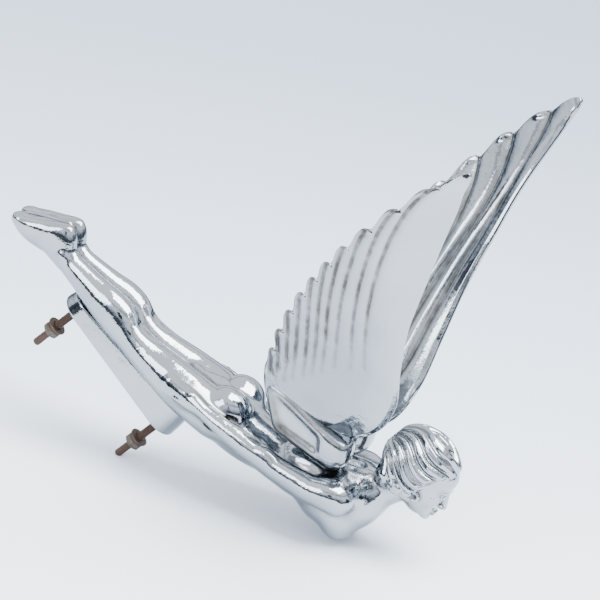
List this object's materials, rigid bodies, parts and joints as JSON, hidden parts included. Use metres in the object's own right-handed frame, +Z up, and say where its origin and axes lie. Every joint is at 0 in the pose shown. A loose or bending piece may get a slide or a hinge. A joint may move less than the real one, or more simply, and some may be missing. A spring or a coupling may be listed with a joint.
{
  "type": "hood ornament",
  "caption": "Chromed winged human figure in flight, lying on a hollow foot with threaded studs, nuts and washers underneath.",
  "frame": {"origin": "middle of the base casting's flat underside, on the cross rib", "axes": "+X forward towards the head, +Z up away from the studs, Y = 0 is the mirror plane"},
  "size_m": [0.2699, 0.1826, 0.316],
  "materials": {
    "figure_chrome": "polished plating, lightly worn",
    "wing_chrome": "polished plating, lightly worn",
    "base_chrome": "polished plating, lightly worn",
    "stud_steel": "rusted steel",
    "nut_steel": "worn and rusted steel",
    "washer_steel": "rusted steel"
  },
  "bodies": {
    "ornament": {"figure_casting": "figure_chrome", "left_wing_casting": "wing_chrome", "right_wing_casting": "wing_chrome", "base_casting": "base_chrome", "rear_stud": "stud_steel", "front_stud": "stud_steel"},
    "rear_washers": {"rear_lock_washer": "washer_steel", "rear_flat_washer": "washer_steel"},
    "rear_nut": {"rear_hex_nut": "nut_steel"},
    "front_washers": {"front_lock_washer": "washer_steel", "front_flat_washer": "washer_steel"},
    "front_nut": {"front_hex_nut": "nut_steel"}
  },
  "joints": [
    {"name": "rear_washer_travel", "type": "slide", "parent": "ornament", "child": "rear_washers", "axis": [0, 0, 1], "range_m": [0, 0.01614]},
    {"name": "rear_nut_turn", "type": "hinge", "parent": "rear_washers", "child": "rear_nut", "pos_m": [-0.0381, 0, -0.021], "axis": [0, 0, 1], "range_deg": [0, 5490]},
    {"name": "front_washer_travel", "type": "slide", "parent": "ornament", "child": "front_washers", "axis": [0, 0, 1], "range_m": [0, 0.01614]},
    {"name": "front_nut_turn", "type": "hinge", "parent": "front_washers", "child": "front_nut", "pos_m": [0.0381, 0, -0.021], "axis": [0, 0, 1], "range_deg": [0, 5490]}
  ],
  "couplings": [
    {"joint": "rear_nut_turn", "follows": "rear_washer_travel", "rad_per_m": 5936.9},
    {"joint": "front_nut_turn", "follows": "front_washer_travel", "rad_per_m": 5936.9}
  ]
}
